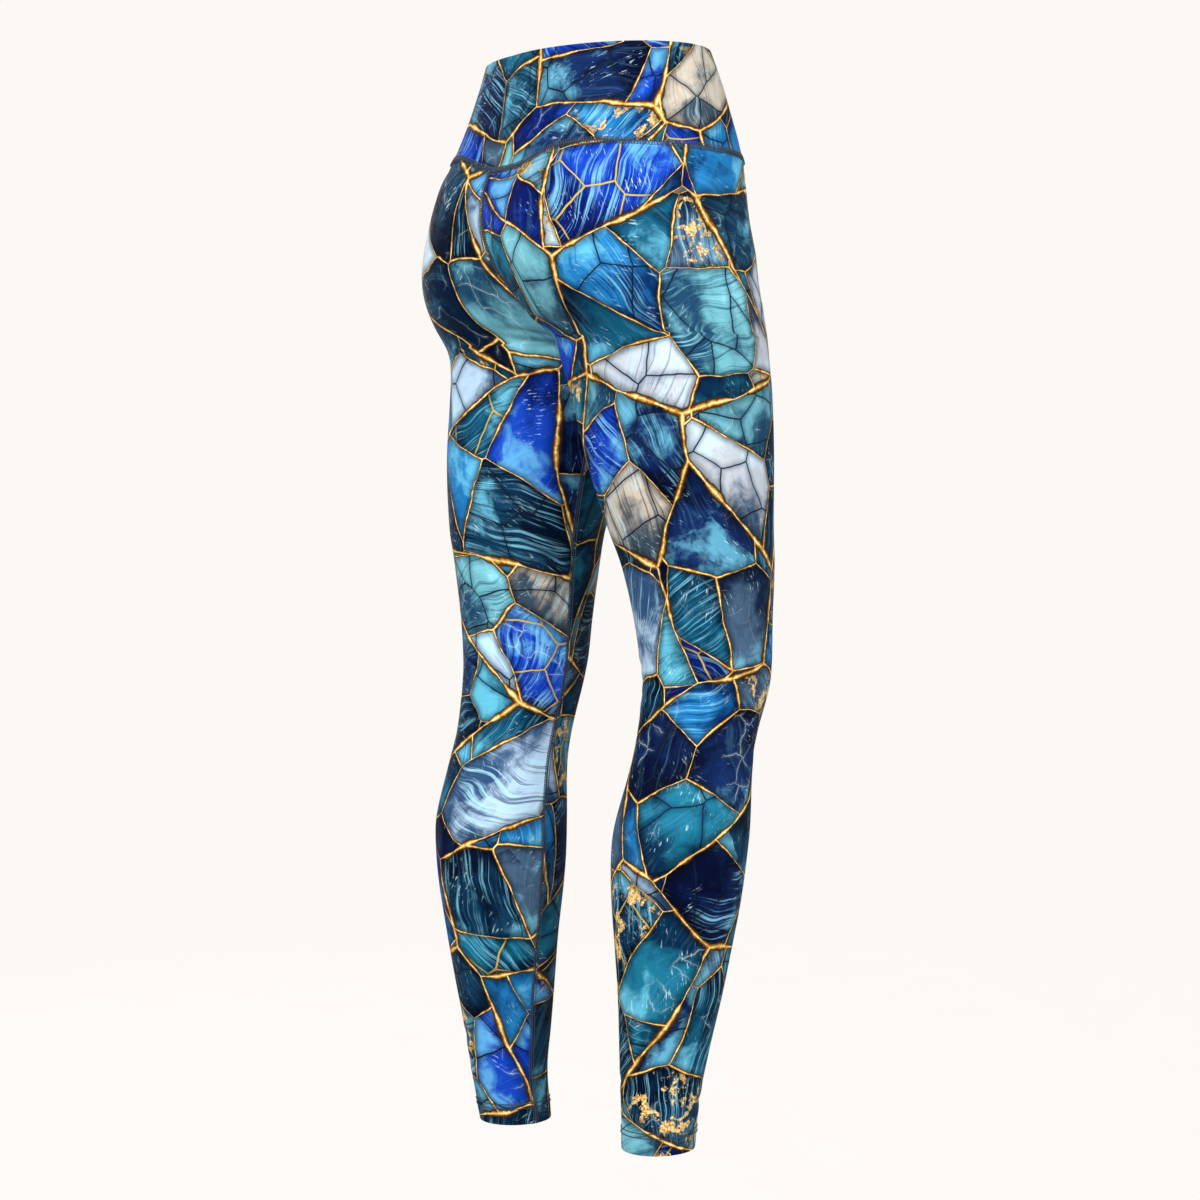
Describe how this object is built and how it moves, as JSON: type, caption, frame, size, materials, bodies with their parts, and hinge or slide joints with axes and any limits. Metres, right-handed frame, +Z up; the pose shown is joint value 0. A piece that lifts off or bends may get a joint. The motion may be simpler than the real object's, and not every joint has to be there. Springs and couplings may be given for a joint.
{
  "type": "leggings",
  "caption": "High-waisted full-length leggings, hollow and open at waist and hems, filled out as worn in an easy stride.",
  "frame": {"origin": "middle of the waist opening, where the wearer holds the leggings up", "axes": "+Z up out of the waist, -Y towards the wearer's front, +X towards the wearer's left"},
  "size_m": [0.3518, 0.2383, 0.9346],
  "materials": {
    "band_cloth": "smooth printed stretch jersey, folded double, soft sheen",
    "leg_cloth": "smooth printed stretch jersey, soft sheen"
  },
  "bodies": {
    "root": {"waistband": "band_cloth", "left_leg": "leg_cloth", "right_leg": "leg_cloth"}
  },
  "joints": []
}
